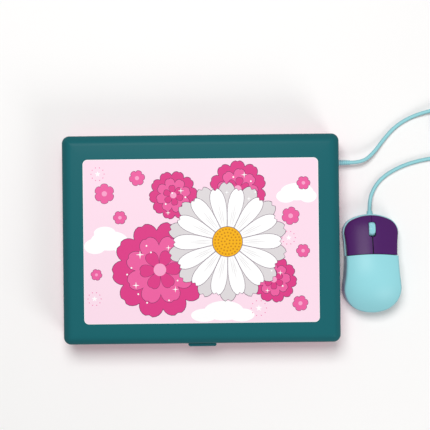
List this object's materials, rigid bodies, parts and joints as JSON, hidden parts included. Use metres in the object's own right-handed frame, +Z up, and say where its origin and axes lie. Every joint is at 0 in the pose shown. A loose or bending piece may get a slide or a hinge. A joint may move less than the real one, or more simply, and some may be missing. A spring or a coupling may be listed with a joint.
{
  "type": "toy laptop computer",
  "caption": "Child's toy laptop with a bevelled flip-up lid, printed lid panel, small screen, press keys and a scroll mouse on a tied cord.",
  "frame": {"origin": "on the table, under the middle of the closed laptop and the mouse together", "axes": "+X to the user's right, +Y towards the hinge, +Z up"},
  "size_m": [0.3974, 0.2211, 0.0406],
  "materials": {
    "lid_teal": "moulded, satin gloss",
    "case_pink": "moulded, satin gloss",
    "aqua_plastic": "moulded, satin gloss",
    "wheel_aqua": "moulded, satin gloss",
    "purple_plastic": "moulded, satin gloss",
    "key_lavender": "moulded, fine texture",
    "mat_silicone": "moulded silicone",
    "label_print": "printed film",
    "surround_print": "printed film",
    "clear_window": "clear, polished",
    "sensor_clear": "clear",
    "lcd_grey": "display glass with grey-green back",
    "board_green": "solder mask",
    "switch_black": "moulded",
    "steel": "plated",
    "cell_wrap": "printed wrap",
    "foot_rubber": "moulded",
    "glide_pad": "smooth, low friction",
    "cord_aqua": "soft cord jacket",
    "cable_sheath": "thin cable jacket",
    "tie_white": "plastic tie"
  },
  "bodies": {
    "base": {"base_bottom_shell": "case_pink", "base_top_deck": "case_pink", "keypad_mat": "mat_silicone", "main_circuit_board": "board_green", "board_screws": "steel", "speaker_driver": "switch_black", "battery_door": "case_pink", "battery_door_screw": "steel", "battery_cells": "cell_wrap", "battery_contacts": "steel", "rubber_feet": "foot_rubber", "base_case_screws": "steel", "hinge_pins": "steel", "hinge_cable_bush": "steel", "display_cable_base": "cable_sheath", "base_cord_grommet": "cord_aqua", "mouse_cord_lead": "cord_aqua", "mouse_cord_coil": "cord_aqua", "mouse_cord_tail": "cord_aqua", "cord_tie": "tie_white"},
    "lid": {"lid_outer_shell": "lid_teal", "lid_label": "label_print", "lid_inner_bezel": "aqua_plastic", "screen_surround": "surround_print", "lcd_window": "clear_window", "lcd_panel": "lcd_grey", "display_board": "board_green", "display_screws": "steel", "lid_screws": "steel", "display_cable_lid": "cable_sheath"},
    "mouse": {"mouse_bottom_shell": "aqua_plastic", "mouse_palm_cover": "aqua_plastic", "mouse_circuit_board": "board_green", "mouse_click_switches": "switch_black", "mouse_sensor_lens": "sensor_clear", "mouse_glide_pads": "glide_pad", "mouse_screws": "steel", "mouse_cord_relief": "cord_aqua"},
    "wheel": {"mouse_wheel": "wheel_aqua"},
    "left_button": {"mouse_left_button": "purple_plastic"},
    "right_button": {"mouse_right_button": "purple_plastic"},
    "activity_key_1": {"activity_key_1": "key_lavender"},
    "activity_key_2": {"activity_key_2": "key_lavender"},
    "activity_key_3": {"activity_key_3": "key_lavender"},
    "activity_key_4": {"activity_key_4": "key_lavender"},
    "activity_key_5": {"activity_key_5": "key_lavender"},
    "activity_key_6": {"activity_key_6": "key_lavender"},
    "activity_key_7": {"activity_key_7": "key_lavender"},
    "activity_key_8": {"activity_key_8": "key_lavender"},
    "key_on": {"key_on": "key_lavender"},
    "key_off": {"key_off": "key_lavender"},
    "key_enter": {"key_enter": "key_lavender"},
    "key_up": {"key_up": "key_lavender"},
    "key_left": {"key_left": "key_lavender"},
    "key_right": {"key_right": "key_lavender"},
    "key_down": {"key_down": "key_lavender"},
    "key_space": {"key_space": "key_lavender"}
  },
  "joints": [
    {"name": "lid_hinge", "type": "hinge", "parent": "base", "child": "lid", "pos_m": [-0.02915, 0.0925, 0.024], "axis": [-1, 0, 0], "range_deg": [0, 115]},
    {"name": "activity_key_1_press", "type": "slide", "parent": "base", "child": "activity_key_1", "axis": [0, 0, -1], "range_m": [0, 0.0012], "stiffness_N_per_m": 400},
    {"name": "activity_key_2_press", "type": "slide", "parent": "base", "child": "activity_key_2", "axis": [0, 0, -1], "range_m": [0, 0.0012], "stiffness_N_per_m": 400},
    {"name": "activity_key_3_press", "type": "slide", "parent": "base", "child": "activity_key_3", "axis": [0, 0, -1], "range_m": [0, 0.0012], "stiffness_N_per_m": 400},
    {"name": "activity_key_4_press", "type": "slide", "parent": "base", "child": "activity_key_4", "axis": [0, 0, -1], "range_m": [0, 0.0012], "stiffness_N_per_m": 400},
    {"name": "activity_key_5_press", "type": "slide", "parent": "base", "child": "activity_key_5", "axis": [0, 0, -1], "range_m": [0, 0.0012], "stiffness_N_per_m": 400},
    {"name": "activity_key_6_press", "type": "slide", "parent": "base", "child": "activity_key_6", "axis": [0, 0, -1], "range_m": [0, 0.0012], "stiffness_N_per_m": 400},
    {"name": "activity_key_7_press", "type": "slide", "parent": "base", "child": "activity_key_7", "axis": [0, 0, -1], "range_m": [0, 0.0012], "stiffness_N_per_m": 400},
    {"name": "activity_key_8_press", "type": "slide", "parent": "base", "child": "activity_key_8", "axis": [0, 0, -1], "range_m": [0, 0.0012], "stiffness_N_per_m": 400},
    {"name": "key_on_press", "type": "slide", "parent": "base", "child": "key_on", "axis": [0, 0, -1], "range_m": [0, 0.0012], "stiffness_N_per_m": 400},
    {"name": "key_off_press", "type": "slide", "parent": "base", "child": "key_off", "axis": [0, 0, -1], "range_m": [0, 0.0012], "stiffness_N_per_m": 400},
    {"name": "key_enter_press", "type": "slide", "parent": "base", "child": "key_enter", "axis": [0, 0, -1], "range_m": [0, 0.0012], "stiffness_N_per_m": 400},
    {"name": "key_up_press", "type": "slide", "parent": "base", "child": "key_up", "axis": [0, 0, -1], "range_m": [0, 0.0012], "stiffness_N_per_m": 400},
    {"name": "key_left_press", "type": "slide", "parent": "base", "child": "key_left", "axis": [0, 0, -1], "range_m": [0, 0.0012], "stiffness_N_per_m": 400},
    {"name": "key_right_press", "type": "slide", "parent": "base", "child": "key_right", "axis": [0, 0, -1], "range_m": [0, 0.0012], "stiffness_N_per_m": 400},
    {"name": "key_down_press", "type": "slide", "parent": "base", "child": "key_down", "axis": [0, 0, -1], "range_m": [0, 0.0012], "stiffness_N_per_m": 400},
    {"name": "key_space_press", "type": "slide", "parent": "base", "child": "key_space", "axis": [0, 0, -1], "range_m": [0, 0.0012], "stiffness_N_per_m": 400},
    {"name": "mouse_slide", "type": "slide", "parent": "base", "child": "mouse", "axis": [0, 1, 0], "range_m": [-0.05, 0.008], "deforming": ["mouse_cord_lead"]},
    {"name": "wheel_roll", "type": "hinge", "parent": "mouse", "child": "wheel", "pos_m": [0.12995, 0.0086, 0.0173], "axis": [1, 0, 0], "continuous": true},
    {"name": "left_click", "type": "hinge", "parent": "mouse", "child": "left_button", "pos_m": [0.12995, -0.0109, 0.0126], "axis": [-1, 0, 0], "range_deg": [0, 2], "stiffness_Nm_per_rad": 0.4},
    {"name": "right_click", "type": "hinge", "parent": "mouse", "child": "right_button", "pos_m": [0.12995, -0.0109, 0.0126], "axis": [-1, 0, 0], "range_deg": [0, 2], "stiffness_Nm_per_rad": 0.4}
  ]
}
